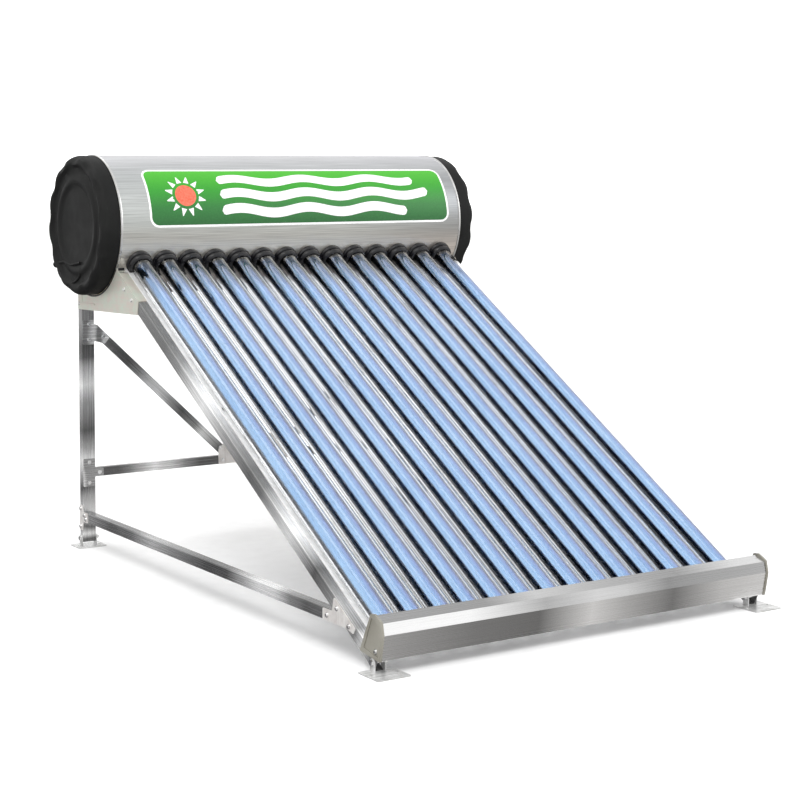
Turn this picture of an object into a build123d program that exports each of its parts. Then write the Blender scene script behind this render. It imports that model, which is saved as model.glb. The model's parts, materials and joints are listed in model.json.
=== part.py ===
from build123d import *
import os
from math import cos, radians, sin, sqrt

# Thermosyphon solar water heater: an insulated tank on a slanted stainless frame, with
# fourteen double-walled glass tubes that plug into the tank and stand in a tray.
# Millimetres, +Z up, X along the tank, -Y towards the tray. The model is worked out about
# the tank's axis, and each piece is moved as it is saved, so that the origin ends up on
# the ground under the middle of the whole heater.

# ---------------------------------------------------------------- driving dimensions
TUBE_COUNT = 14
TUBE_PITCH = 82.0
TUBE_R = 29.0
TUBE_WALL = 1.8
ABSORBER_R = 23.5
ABSORBER_WALL = 1.6
TUBE_LENGTH = 1800.0
TIP_LENGTH = 8.0
TILT = 30.3
TUBE_GAP = 0.3

TANK_R = 210.0
TANK_Z = 990.0
SHELL_HALF = 600.0
SHELL_WALL = 1.0
INNER_R = 160.0
INNER_HALF = 582.0
INNER_DOME = 18.0
INNER_WALL = 1.2
TUBE_HOLE_R = 33.0

SHEET = 1.5
BEND_R = 2.6
FRAME_X = 600.0
LEG_WIDTH = 26.0
LEG_TOP_H = -20.0
LEG_LOW_H = -55.0
LEG_START_S = 250.0
LEG_END_S = 1862.0

POST_FRONT_Y = 88.0
POST_WIDTH = 42.0
POST_DEPTH = 22.0
POST_TOP_Z = 768.0
POST_FOOT_Z = 14.0

BEAM_LOW_Z = 78.0
BEAM_HEIGHT = 30.0
BEAM_WIDTH = 25.0
BEAM_FRONT_Y = -1398.0

CROSS_LOW_Z = 213.0
CROSS_HEIGHT = 27.0
BRACE_WIDTH = 27.0
BRACE_DEPTH = 14.0
PLATE = 2.0

TRAY_BACK_S = 1800.0
TRAY_SHEET = 1.2
DOME_S = 1812.0
END_PLATE = 6.0

PIVOT_Z = 25.3
FOOT_PLATE = 2.5
FOOT_LENGTH_X = 92.0
EAR_R = 10.0
BOLT_R = 4.0
ANCHOR_HOLE_R = 4.5
ANCHOR_SPACING = 70.0

PORT_R = 13.2
PORT_WALL = 3.0
PORT_THREAD = 30.0
PORT_BACK_Y = 235.0
FRONT_FOOT_FRONT_Y = -1650.0

# ---------------------------------------------------------------- worked out from them
COS_T = cos(radians(TILT))
SIN_T = sin(radians(TILT))
TUBE_X = [(i - (TUBE_COUNT - 1) / 2) * TUBE_PITCH for i in range(TUBE_COUNT)]
TUBE_TOP_S = DOME_S + TUBE_R + TIP_LENGTH - TUBE_LENGTH
LEG_MID_H = (LEG_TOP_H + LEG_LOW_H) / 2
FRONT_PIVOT_S = 1850.0
ORIGIN_SHIFT = Pos(0, -(PORT_BACK_Y + FRONT_FOOT_FRONT_Y) / 2, 0)
LEG_GAP = LEG_WIDTH + 1.0
POST_GAP = POST_WIDTH + 1.0
LEG_X = -FRAME_X + LEG_WIDTH / 2
POST_X = -FRAME_X + POST_WIDTH / 2
REAR_PIVOT_Y = POST_FRONT_Y + 12
SCREW_R = 2.4
SCREW_HOLE_R = 2.7

os.makedirs("parts", exist_ok=True)


# ---------------------------------------------------------------- helpers
def along(s, h):
    """The (y, z) of a point s down a tube's axis and h out from the plane of the tubes."""
    return (-s * COS_T - h * SIN_T, TANK_Z - s * SIN_T + h * COS_T)


def down_tube(x=0.0):
    """The place whose Z runs down a tube, with Y square to the plane of the tubes."""
    return Plane(origin=(x, 0, TANK_Z), x_dir=(1, 0, 0), z_dir=(0, -COS_T, -SIN_T)).location


def tank_cylinder(radius, half_length):
    """A solid cylinder on the tank's axis."""
    return Pos(0, 0, TANK_Z) * Rot(0, 90, 0) * Cylinder(radius, 2 * half_length)


def turned(outline):
    """A solid of revolution about Z from an outline of (radius, height) points."""
    face = Plane.XZ * make_face(Polyline(*outline, close=True))
    return revolve(face, Axis.Z, 360)


def plate_yz(outline, x_low, x_high):
    """A flat plate with a (y, z) outline, between two X values."""
    face = Plane.YZ.offset(x_low) * make_face(Polyline(*outline, close=True))
    return extrude(face, amount=x_high - x_low, dir=(1, 0, 0))


def plate_xz(outline, y_low, y_high):
    """A flat plate with an (x, z) outline, between two Y values."""
    place = Plane(origin=(0, y_low, 0), x_dir=(1, 0, 0), z_dir=(0, -1, 0))
    face = place * make_face(Polyline(*outline, close=True))
    return extrude(face, amount=y_high - y_low, dir=(0, 1, 0))


def channel(width, depth, length):
    """A folded C channel along +Z: its web lies on X = 0 and its flanges reach to X = depth."""
    at = (Align.MIN, Align.CENTER, Align.MIN)
    outer = Box(depth, width, length, align=at)
    outer = fillet(outer.edges().filter_by(Axis.Z).sort_by(Axis.X)[:2], BEND_R)
    core = Pos(SHEET, 0, -1) * Box(depth, width - 2 * SHEET, length + 2, align=at)
    core = fillet(core.edges().filter_by(Axis.Z).sort_by(Axis.X)[:2], BEND_R - SHEET)
    return outer - core


def screw_place(origin, outward):
    """The place of a screw whose head sits at origin and looks outward."""
    return Plane(origin=origin, z_dir=outward).location


def flange_screw():
    """A hex screw with a flange under its head, along +Z, with its head above Z = 0."""
    flange = Cylinder(6.2, 1.0, align=(Align.CENTER, Align.CENTER, Align.MIN))
    head = extrude(RegularPolygon(4.6, 6), 4.2)
    head = chamfer(head.faces().sort_by(Axis.Z)[-1].edges(), 0.5)
    shank = Cylinder(SCREW_R, 9.0, align=(Align.CENTER, Align.CENTER, Align.MAX))
    return flange + head + shank


def group(pieces):
    """Separate solids that share one node."""
    return Compound(children=list(pieces))


def mirrored(piece):
    """The same piece on the other side of the heater."""
    return mirror(piece, about=Plane.YZ)


def save(node, piece):
    """Writes one node, moved so that the origin is on the ground under the heater."""
    export_step(ORIGIN_SHIFT * piece, "parts/" + node + ".step")


def save_pair(node, left):
    """Writes a left piece and its mirror image as two nodes."""
    save(node + "_left", left)
    save(node + "_right", mirrored(left))


# ---------------------------------------------------------------- screws of the left side
LEFT = (-1, 0, 0)
FRONT = (0, -1, 0)
SIDE_X = -FRAME_X - PLATE
FACE_Y = POST_FRONT_Y - PLATE
BRACE_TOP = (-548.0, 662.0)
BRACE_LOW = (-112.0, 252.0)
UPPER_SCREWS = [(-577, 685), (-577, 637), (-530, 645)]
MID_SCREWS = [(-579, 259), (-579, 196), (-545, 226)]
CENTRE_SCREWS = [(-119, 226), (-128, 267)]
SADDLE_SCREWS = [along(289, -40), along(346, -40), (99, 748)]
GUSSET_SCREWS = [along(1665, -38), along(1728, -38), (-1373, 92.5)]
LOW_PLATE_SCREWS = [(101, 117), (101, 62), (74, 98.5), (64, 88)]


def left_screw_places():
    """The place of every frame screw on the left half."""
    places = [screw_place((SIDE_X, y, z), LEFT) for y, z in SADDLE_SCREWS]
    places += [screw_place((SIDE_X, y, z), LEFT) for y, z in GUSSET_SCREWS]
    places += [screw_place((SIDE_X, y, z), LEFT) for y, z in LOW_PLATE_SCREWS]
    for x, z in UPPER_SCREWS + MID_SCREWS + CENTRE_SCREWS:
        places.append(screw_place((x, FACE_Y, z), FRONT))
    return places


SCREW_PLACES = left_screw_places()
HOLE = Cylinder(SCREW_HOLE_R, 26.0)


def drilled(piece):
    """The piece with a hole for each frame screw of the left side that meets it."""
    box = piece.bounding_box()
    for place in SCREW_PLACES:
        drill = place * HOLE
        reach = drill.bounding_box()
        apart = (
            reach.max.X < box.min.X
            or reach.min.X > box.max.X
            or reach.max.Y < box.min.Y
            or reach.min.Y > box.max.Y
            or reach.max.Z < box.min.Z
            or reach.min.Z > box.max.Z
        )
        if not apart:
            piece = piece - drill
    return piece


# ---------------------------------------------------------------- tank
def tube_bores(radius, s_low, s_high):
    """One cylinder along each tube's axis, for cutting its hole."""
    height = s_high - s_low
    bore = Cylinder(radius, height, align=(Align.CENTER, Align.CENTER, Align.MIN))
    return [down_tube(x) * Pos(0, 0, s_low) * bore for x in TUBE_X]


# Each port is (x, height above the tank's axis, pipe radius, how far back it reaches).
COLD_PORT = (-450.0, -100.0, PORT_R, PORT_BACK_Y)
HOT_PORT = (450.0, 95.0, PORT_R, PORT_BACK_Y)
VENT_PORT = (0.0, 130.0, 8.0, 205.0)
ANODE_Y = 40.0
ANODE_Z = TANK_Z + 70.0
ANODE_R = 10.0


def port_bar(port, radius):
    """A solid bar on a port's axis, from inside the inner tank out past the shell."""
    x, height, _, back = port
    bar = Cylinder(radius, back, align=(Align.CENTER, Align.CENTER, Align.MIN))
    return Pos(x, 0, TANK_Z + height) * Rot(-90, 0, 0) * bar


def outer_shell():
    shell = tank_cylinder(TANK_R, SHELL_HALF) - tank_cylinder(TANK_R - SHELL_WALL, SHELL_HALF + 1)
    shell = shell - tube_bores(TUBE_HOLE_R, 150, 240)
    return shell - [port_bar(p, p[2] + 0.2) for p in (COLD_PORT, HOT_PORT, VENT_PORT)]


def inner_vessel(radius, half_length, dome):
    """The solid shape of the pressure-free inner tank, with its rounded ends."""
    section = RectangleRounded(2 * half_length, 2 * radius, dome)
    upper = section & Pos(0, radius, 0) * Rectangle(4 * half_length, 2 * radius)
    return Pos(0, 0, TANK_Z) * revolve(upper, Axis.X, 360)


def inner_tank():
    outer = inner_vessel(INNER_R, INNER_HALF, INNER_DOME)
    hollow = inner_vessel(INNER_R - INNER_WALL, INNER_HALF - INNER_WALL, INNER_DOME - INNER_WALL)
    tank = outer - hollow - tube_bores(TUBE_HOLE_R, 100, 180)
    tank = tank - [port_bar(p, p[2]) for p in (COLD_PORT, HOT_PORT, VENT_PORT)]
    plug_hole = Pos(INNER_HALF, ANODE_Y, ANODE_Z) * Rot(0, 90, 0) * Cylinder(ANODE_R, 20)
    return tank - plug_hole


SEAL_FLANGE_R = 37.0
SEAL_TOP_S = 168.0


def insulation_foam():
    foam = tank_cylinder(TANK_R - SHELL_WALL, SHELL_HALF - 2)
    foam = foam - inner_vessel(INNER_R, INNER_HALF, INNER_DOME)
    foam = foam - tube_bores(TUBE_HOLE_R + 0.2, 120, 240)
    foam = foam - tube_bores(SEAL_FLANGE_R + 0.2, 120, SEAL_TOP_S)
    foam = foam - [port_bar(p, p[2] + 0.2) for p in (COLD_PORT, HOT_PORT, VENT_PORT)]
    plug_room = Pos(INNER_HALF + 15, ANODE_Y, ANODE_Z) * Rot(0, 90, 0) * Cylinder(20, 30)
    return foam - plug_room


def tube_seal():
    """A silicone ring that seals one tube in the inner tank's wall."""
    bore = TUBE_R + TUBE_GAP
    neck = turned([(bore, 140), (TUBE_HOLE_R, 140), (TUBE_HOLE_R, SEAL_TOP_S), (bore, SEAL_TOP_S)])
    flange = turned([(bore, 150), (SEAL_FLANGE_R, 150), (SEAL_FLANGE_R, 167), (bore, 167)])
    seal = down_tube() * flange - tank_cylinder(INNER_R, INNER_HALF)
    return seal + down_tube() * neck


def dust_ring():
    """The rubber ring around one tube where it leaves the shell: a wide foot and a lip."""
    bore = TUBE_R + TUBE_GAP
    foot = [(bore, 202), (39.6, 202), (39.6, 214), (38.6, 217), (36.4, 218.6), (34.6, 219), (34.6, 222)]
    lip = [(36.4, 222.8), (37.6, 225), (37.6, 229), (36.2, 232), (33, 234.5), (30.4, 236), (bore, 236)]
    ring = down_tube() * turned(foot + lip) - tank_cylinder(TANK_R, SHELL_HALF)
    neck = turned([(bore, 192), (32.8, 192), (32.8, 212), (bore, 212)])
    return ring + down_tube() * neck


def port(spec):
    """A threaded water pipe with a hexagon collar that stands on the shell's back."""
    x, height, radius, back = spec
    pipe = port_bar(spec, radius) - port_bar(spec, radius - PORT_WALL)
    pipe = pipe - inner_vessel(INNER_R - 6, INNER_HALF, INNER_DOME)
    collar = extrude(RegularPolygon(radius + 5.5, 6), back - PORT_THREAD)
    collar = Pos(x, 0, TANK_Z + height) * Rot(-90, 0, 0) * collar
    collar = collar - tank_cylinder(TANK_R, SHELL_HALF) - port_bar(spec, radius - PORT_WALL)
    return pipe + collar


def anode_rod():
    """The sacrificial rod in the inner tank, on the hexagon plug that holds it."""
    rod = Pos(INNER_HALF + 4, ANODE_Y, ANODE_Z) * Rot(0, -90, 0) * Cylinder(
        ANODE_R, 300, align=(Align.CENTER, Align.CENTER, Align.MIN)
    )
    plug = Pos(INNER_HALF, ANODE_Y, ANODE_Z) * Rot(0, 90, 0) * extrude(RegularPolygon(15, 6), 10)
    return rod + plug


CAP_SKIRT = 44.0
CAP_DEPTH = 57.0
CAP_R = 208.5
SCALLOPS = 12


def end_cap_blank():
    """The turned blank of an end cap, with its open side on Z = 0 and its face at the top."""
    outside = [(0, 46), (118, 46), (128, 52), (140, 52), (150, 47), (172, 47), (182, CAP_DEPTH)]
    outside += [(197, CAP_DEPTH), (CAP_R, CAP_SKIRT), (CAP_R, 0)]
    inside = [(199, 0), (199, 42), (192, 51), (184, 51), (174, 42), (149, 42), (139, 47)]
    inside += [(129, 47), (119, 41), (0, 41)]
    return turned(outside + inside)


def end_cap():
    """An end cap with shallow grip hollows round its edge and a ledge near its top."""
    cap = end_cap_blank()
    hollow = Cylinder(60, 30)
    for k in range(SCALLOPS):
        angle = 15 + k * 360 / SCALLOPS
        cap = cap - Rot(0, 0, angle) * Pos(CAP_R + 56.5, 0, CAP_DEPTH) * hollow
    ledge = fillet(Box(7, 46, 10).edges(), 2)
    return cap + Pos(118, 0, 49) * ledge


def on_left_end(piece):
    """Turns a cap's own frame (face up, its top towards +X) onto the tank's left end."""
    outward = Plane(origin=(-SHELL_HALF - 2, 0, TANK_Z), x_dir=(0, 0, 1), z_dir=(-1, 0, 0))
    return outward.location * piece


def port_pocket():
    """The half-round boss low on the left cap, with a moulded shelf and a blind gland."""
    boss = Cylinder(62, 6) - Cylinder(54, 8)
    boss = boss & Pos(-40, 0, 0) * Box(80, 140, 20)
    shelf = fillet(Box(9, 190, 9).edges().filter_by(Axis.Y), 3)
    knob = fillet((Rot(90, 0, 0) * Cylinder(9, 24)).edges(), 2.5)
    return Pos(-122, 60, 50) * boss + Pos(-122, 70, 51) * shelf + Pos(-126, 170, 47) * knob


def trim_ring():
    """The bright rolled edge between the shell and the left cap."""
    outline = [(TANK_R, 0), (TANK_R + 1.8, 0.8), (TANK_R + 2.2, 3), (TANK_R + 1.6, 6), (TANK_R, 7)]
    place = Plane(origin=(-SHELL_HALF + 5, 0, TANK_Z), x_dir=(0, 0, 1), z_dir=(-1, 0, 0))
    return place.location * turned(outline)


LABEL_LOW_ANGLE = -1.0
LABEL_HIGH_ANGLE = 52.0
LABEL_X = 24.0
LABEL_LENGTH = 1064.0
LABEL_SKIN = 0.6


def front_label():
    """A thin panel that follows the shell, with rounded corners."""
    middle = (LABEL_LOW_ANGLE + LABEL_HIGH_ANGLE) / 2
    half_span = (LABEL_HIGH_ANGLE - LABEL_LOW_ANGLE) / 2
    height = 2 * TANK_R * sin(radians(half_span))
    outward = (0, -cos(radians(middle)), sin(radians(middle)))
    place = Plane(origin=(LABEL_X, 0, TANK_Z), x_dir=(1, 0, 0), z_dir=outward)
    block = extrude(RectangleRounded(LABEL_LENGTH, height, 22), TANK_R + 20)
    skin = tank_cylinder(TANK_R + LABEL_SKIN, SHELL_HALF) - tank_cylinder(TANK_R, SHELL_HALF)
    return skin & place.location * block


# ---------------------------------------------------------------- evacuated tubes
def closed_pipe(radius, wall, length):
    """A glass pipe along +Z, open at Z = 0, with a half-round closed end at Z = length."""
    base = (Align.CENTER, Align.CENTER, Align.MIN)
    straight = length - radius
    outer = Cylinder(radius, straight, align=base) + Pos(0, 0, straight) * Sphere(radius)
    hollow = Cylinder(radius - wall, straight, align=base) + Pos(0, 0, straight) * Sphere(radius - wall)
    outer = outer & Box(4 * radius, 4 * radius, length + 1, align=base)
    return outer - hollow


def evacuated_tube():
    """One tube: the clear outer glass with its sealed tip, and the coated inner glass."""
    base = (Align.CENTER, Align.CENTER, Align.MIN)
    dome_end = TUBE_LENGTH - TIP_LENGTH
    outer = closed_pipe(TUBE_R, TUBE_WALL, dome_end)
    tip = Pos(0, 0, dome_end - 1.5) * Cone(5.0, 1.5, TIP_LENGTH + 1.5, align=base)
    outer = outer + tip
    inner = closed_pipe(ABSORBER_R, ABSORBER_WALL, dome_end - 14)
    lip = Cylinder(TUBE_R - TUBE_WALL, 3, align=base) - Cylinder(ABSORBER_R - ABSORBER_WALL, 3, align=base)
    return group([outer, inner + lip])


# ---------------------------------------------------------------- tray
TRAY_TOP = along(TRAY_BACK_S, 62)
TRAY_OUTLINE = [TRAY_TOP, (-1618, 123), (-1624, 95), (-1612, 34), along(TRAY_BACK_S, -44)]
CUP_R = 31.3
CUP_BORE = TUBE_R + 0.5
TRAY_SCREW = (-1595.0, 53.0)


def leg_room(margin):
    """The space that the left leg takes, grown by a margin."""
    height = LEG_TOP_H - LEG_LOW_H + 2 * margin
    block = Box(LEG_WIDTH + 2 * margin, height, 400)
    return down_tube(-FRAME_X + LEG_WIDTH / 2) * Pos(0, LEG_MID_H, 1700) * block


def tail_tray():
    """The folded channel that holds the lower ends of the tubes."""
    face = Plane.YZ * make_face(Polyline(*TRAY_OUTLINE, close=True))
    inside = offset(face, amount=-TRAY_SHEET, kind=Kind.INTERSECTION)
    body = extrude(face, amount=FRAME_X, dir=(1, 0, 0), both=True)
    body = body - extrude(inside, amount=FRAME_X + 1, dir=(1, 0, 0), both=True)
    drain = down_tube() * Pos(0, -38, TRAY_BACK_S + 10) * Box(2 * FRAME_X - 80, 16, 24)
    body = body - drain - tube_bores(CUP_R + 0.1, TRAY_BACK_S - 20, TRAY_BACK_S + 12)
    return body - leg_room(1) - mirrored(leg_room(1))


def tray_end():
    """A moulded end plate with a raised rim, a little larger than the tray."""
    rim = [(-1575, 138), (-1592, 140), (-1620, 126), (-1627, 95), (-1614.5, 32), along(TRAY_BACK_S - 3, -47)]
    plate = plate_yz(rim, -FRAME_X - END_PLATE, -FRAME_X)
    plate = fillet(plate.edges().filter_by(Axis.X), 3)
    centre = [(-1580, 130), (-1612, 117), (-1618, 94), (-1607, 42), (-1545, 53)]
    dish = plate_yz(centre, -FRAME_X - END_PLATE, -FRAME_X - END_PLATE + 2)
    plate = plate - dish
    hole = Pos(-FRAME_X, *TRAY_SCREW) * Rot(0, 90, 0) * Cylinder(SCREW_HOLE_R, 20)
    return plate - hole


def tray_screw():
    """The small screw that holds an end plate to a nut block in the tray."""
    seat = -FRAME_X - END_PLATE + 2
    place = screw_place((seat, *TRAY_SCREW), LEFT)
    block = Pos(-FRAME_X + 4, *TRAY_SCREW) * Box(8, 10, 9)
    hole = Pos(-FRAME_X, *TRAY_SCREW) * Rot(0, 90, 0) * Cylinder(SCREW_R, 20)
    return group([place * flange_screw(), block - hole])


def tail_cup():
    """The clear cup that one tube's closed end stands in."""
    base = (Align.CENTER, Align.CENTER, Align.MIN)
    front = TRAY_BACK_S - 5
    outer = Cylinder(CUP_R, DOME_S - front, align=base) + Pos(0, 0, DOME_S - front) * Sphere(CUP_R)
    flange = Cylinder(36, 5, align=base)
    hollow = Cylinder(CUP_BORE, DOME_S - front, align=base)
    hollow = hollow + Pos(0, 0, DOME_S - front) * Sphere(CUP_BORE)
    cup = outer & Box(90, 90, 90, align=base)
    cup = cup + fillet(flange.edges(), 1.2) - hollow
    cup = cup - Pos(0, 0, DOME_S - front) * Cylinder(7, 60, align=base)
    return down_tube() * Pos(0, 0, front) * cup


# ---------------------------------------------------------------- frame
def front_leg():
    """The left slanted leg: a channel that opens inwards."""
    place = down_tube(-FRAME_X) * Pos(0, LEG_MID_H, LEG_START_S)
    leg = place * channel(LEG_TOP_H - LEG_LOW_H, LEG_WIDTH, LEG_END_S - LEG_START_S)
    pivot = Pos(-FRAME_X, *along(FRONT_PIVOT_S, LEG_MID_H)) * Rot(0, 90, 0) * Cylinder(BOLT_R + 0.05, 100)
    return drilled(leg) - pivot


def rear_post():
    """The left rear post: a channel that opens backwards."""
    post = channel(POST_WIDTH, POST_DEPTH, POST_TOP_Z - POST_FOOT_Z)
    post = Pos(-FRAME_X + POST_WIDTH / 2, POST_FRONT_Y, POST_FOOT_Z) * Rot(0, 0, 90) * post
    pivot = Pos(-FRAME_X, REAR_PIVOT_Y, PIVOT_Z) * Rot(0, 90, 0) * Cylinder(BOLT_R + 0.05, 200)
    return drilled(post) - pivot


def side_beam():
    """The left lower beam, from the rear post to the slanted leg."""
    length = POST_FRONT_Y - BEAM_FRONT_Y
    start = (-FRAME_X, POST_FRONT_Y, BEAM_LOW_Z + BEAM_HEIGHT / 2)
    place = Plane(origin=start, x_dir=(1, 0, 0), z_dir=(0, -1, 0))
    return drilled(place.location * channel(BEAM_HEIGHT, BEAM_WIDTH, length))


def rear_cross_beam():
    """The beam between the rear posts, a channel that opens backwards."""
    half = FRAME_X - POST_WIDTH - 1
    start = (-half, POST_FRONT_Y, CROSS_LOW_Z + CROSS_HEIGHT / 2)
    place = Plane(origin=start, x_dir=(0, 1, 0), z_dir=(1, 0, 0))
    beam = place.location * channel(CROSS_HEIGHT, POST_DEPTH - 2, 2 * half)
    beam = drilled(beam)
    return mirrored(drilled(mirrored(beam)))


def rear_brace():
    """The left diagonal of the back, from the upper post plate to the centre plate."""
    run_x = BRACE_LOW[0] - BRACE_TOP[0]
    run_z = BRACE_LOW[1] - BRACE_TOP[1]
    length = sqrt(run_x**2 + run_z**2)
    start = (BRACE_TOP[0], POST_FRONT_Y, BRACE_TOP[1])
    place = Plane(origin=start, x_dir=(0, 1, 0), z_dir=(run_x, 0, run_z))
    brace = place.location * channel(BRACE_WIDTH, BRACE_DEPTH, length)
    keep_clear = Pos(POST_X, POST_FRONT_Y + 10, 640) * Box(POST_WIDTH + 1, 60, 300)
    return drilled(brace - keep_clear)


def brace_centre_plate():
    """The plate that joins both diagonals to the cross beam."""
    outline = [(-134, 213), (134, 213), (134, 262), (96, 300), (-96, 300), (-134, 262)]
    plate = plate_xz(outline, FACE_Y, POST_FRONT_Y)
    plate = fillet(plate.edges().filter_by(Axis.Y), 4)
    return mirrored(drilled(mirrored(drilled(plate))))


def upper_post_plate():
    """The plate that joins the left diagonal to the top of the post."""
    on_post = [(-560, 697), (-598, 697), (-598, 622), (-560, 622)]
    on_brace = [(-560, 632), (-524, 622), (-508, 640), (-548, 680), (-560, 684)]
    plate = plate_xz(on_post + on_brace, FACE_Y, POST_FRONT_Y)
    return drilled(fillet(plate.edges().filter_by(Axis.Y), 3))


def mid_post_plate():
    """The T plate that joins the cross beam to the left post."""
    on_post = [(-560, 270), (-598, 270), (-598, 184), (-560, 184)]
    on_beam = [(-560, 214), (-532, 214), (-532, 239), (-560, 239)]
    plate = plate_xz(on_post + on_beam, FACE_Y, POST_FRONT_Y)
    return drilled(fillet(plate.edges().filter_by(Axis.Y), 3))


def lower_post_plate():
    """The L plate that joins the left beam to the foot of the rear post."""
    outline = [(110, 50), (110, 127), (90, 127), (84, 108), (52, 108), (52, 78), (84, 78), (90, 50)]
    plate = plate_yz(outline, SIDE_X, -FRAME_X)
    return drilled(fillet(plate.edges().filter_by(Axis.X), 3))


def lower_gusset():
    """The plate that joins the left beam to the slanted leg."""
    on_beam = [(-1462, 79), (-1352, 79), (-1352, 107), (-1396, 107)]
    on_leg = [along(1640, -23), along(1752, -23), along(1752, -40)]
    plate = plate_yz(on_beam + on_leg, SIDE_X, -FRAME_X)
    return drilled(fillet(plate.edges().filter_by(Axis.X), 4))


SADDLE_R = TANK_R + 5.0
SADDLE_SEAT = 25.0
SADDLE_BACK_Y = 108.0


def saddle_block(radius, x_low, x_high):
    """The side outline of the saddle as a solid, with its round seat at a given radius."""
    back = [(-316, 741), (SADDLE_BACK_Y, 731), (SADDLE_BACK_Y, 830), (-150, 900)]
    front = [along(226, -18), along(384, -18)]
    block = plate_yz(back + front, x_low, x_high)
    return block - tank_cylinder(radius, 2 * SHELL_HALF)


def seat_front_room():
    """The space in front of the round seat, where the slanted leg passes."""
    return plate_yz([(-400, 700), (-400, 1000), (-172, 1000), (-172, 700)], -700, -500)


def tank_saddle():
    """The left saddle: a side plate with a round seat, a fold over the leg and a bottom fold."""
    plate = saddle_block(SADDLE_R, SIDE_X, -FRAME_X)
    seat_block = saddle_block(SADDLE_R, SIDE_X, -FRAME_X + SADDLE_SEAT)
    seat = seat_block - saddle_block(SADDLE_R + PLATE, SIDE_X - 1, FRAME_X)
    seat = seat - seat_front_room()
    post_room = Pos(POST_X, POST_FRONT_Y + 11, 700) * Box(POST_WIDTH + 1, POST_DEPTH + 2, 180)
    over_leg = down_tube(-FRAME_X + LEG_WIDTH / 2 - 1) * Pos(0, LEG_TOP_H + 1, (236 + 384) / 2)
    fold = over_leg * Box(LEG_WIDTH + 2, PLATE, 384 - 236)
    bottom = plate_yz([(84, 731), (84, 733), (-300, 742.5), (-300, 740.5)], SIDE_X, -FRAME_X + 14)
    bead_low = Pos(SIDE_X, 30, 752) * Box(3, 92, 5)
    bead_up = Pos(SIDE_X, 78, 768) * Box(3, 5, 30)
    saddle = plate + (seat - post_room) + fold + bottom
    beads = fillet(bead_low.edges().filter_by(Axis.Y), 1) + fillet(bead_up.edges().filter_by(Axis.Z), 1)
    return drilled(saddle + beads)


def saddle_trim():
    """The rubber strip between the left saddle's seat and the tank."""
    low = -FRAME_X - 3.5
    high = -FRAME_X + SADDLE_SEAT
    strip = saddle_block(TANK_R, low, high) - saddle_block(SADDLE_R, low - 1, high + 1)
    ring_room = tank_cylinder(TANK_R + 2.4, SHELL_HALF + 10) & Pos(-SHELL_HALF, 0, TANK_Z) * Box(14, 900, 900)
    return strip - seat_front_room() - ring_room


def side_rail():
    """The bright strip between the left leg and the first tube, notched for the tube's ring."""
    inner_x = -558.0
    width = inner_x + FRAME_X - LEG_WIDTH
    length = TRAY_BACK_S - 6 - 214
    block = Box(width, 22, length, align=(Align.MIN, Align.MAX, Align.MIN))
    core = Box(width - 2 * SHEET, 22, length + 2, align=(Align.MIN, Align.MAX, Align.MIN))
    core = Pos(SHEET, -SHEET, -1) * core
    rail = down_tube(-FRAME_X + LEG_WIDTH) * Pos(0, -17, 214) * (block - core)
    slot = down_tube(-FRAME_X + LEG_WIDTH + width / 2) * Pos(0, -17, 905) * Box(5, 8, 18)
    ring_room = down_tube(TUBE_X[0]) * Pos(0, 0, 214) * Cylinder(40.4, 46)
    return rail - tank_cylinder(TANK_R + 0.5, SHELL_HALF + 10) - slot - ring_room


# ---------------------------------------------------------------- feet
FRONT_PIVOT = along(FRONT_PIVOT_S, LEG_MID_H)


def foot(centre_x, gap, pivot_y, pivot_z, back_y, front_y):
    """A foot: a ground plate with two ears that hold the pivot bolt and two anchor holes."""
    base = (Align.CENTER, Align.CENTER, Align.MIN)
    middle_y = (back_y + front_y) / 2
    plate = Pos(centre_x, middle_y, 0) * Box(FOOT_LENGTH_X, back_y - front_y, FOOT_PLATE, align=base)
    plate = fillet(plate.edges().filter_by(Axis.Z), 5)
    for side in (-1, 1):
        x = centre_x + side * (gap / 2 + FOOT_PLATE / 2)
        ear = Pos(x, pivot_y, 0) * Box(FOOT_PLATE, 2 * EAR_R, pivot_z, align=base)
        ear = ear + Pos(x, pivot_y, pivot_z) * Rot(0, 90, 0) * Cylinder(EAR_R, FOOT_PLATE)
        plate = plate + ear
        anchor_x = centre_x + side * ANCHOR_SPACING / 2
        plate = plate - Pos(anchor_x, middle_y, 0) * Cylinder(ANCHOR_HOLE_R, 20)
    return plate - Pos(centre_x, pivot_y, pivot_z) * Rot(0, 90, 0) * Cylinder(BOLT_R + 0.05, 200)


def foot_bolt(centre_x, gap, pivot_y, pivot_z):
    """A hexagon bolt and its nut through a foot's ears."""
    half = gap / 2 + FOOT_PLATE + 0.3
    base = (Align.CENTER, Align.CENTER, Align.MIN)
    shank = Pos(0, 0, -half) * Cylinder(BOLT_R, 2 * half + 9, align=base)
    head = Pos(0, 0, -half - 5.3) * extrude(RegularPolygon(7.2, 6), 5.3)
    nut = Pos(0, 0, half) * extrude(RegularPolygon(7.2, 6), 6.5)
    return Pos(centre_x, pivot_y, pivot_z) * Rot(0, 90, 0) * (shank + head + nut)


# ---------------------------------------------------------------- save every node
save("outer_shell", outer_shell())
save("inner_tank", inner_tank())
save("insulation_foam", insulation_foam())
save("cold_water_port", port(COLD_PORT))
save("hot_water_port", port(HOT_PORT))
save("vent_port", port(VENT_PORT))
save("anode_rod", anode_rod())
save("front_label", front_label())

save("tube_seals", group(Pos(x, 0, 0) * tube_seal() for x in TUBE_X))
save("dust_rings", group(Pos(x, 0, 0) * dust_ring() for x in TUBE_X))
save("tail_cups", group(Pos(x, 0, 0) * tail_cup() for x in TUBE_X))
TUBE = evacuated_tube()
for i, tube_x in enumerate(TUBE_X):
    tube_node = "evacuated_tube_{:02d}".format(i + 1)
    save(tube_node, down_tube(tube_x) * Pos(0, 0, TUBE_TOP_S) * TUBE)

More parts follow.
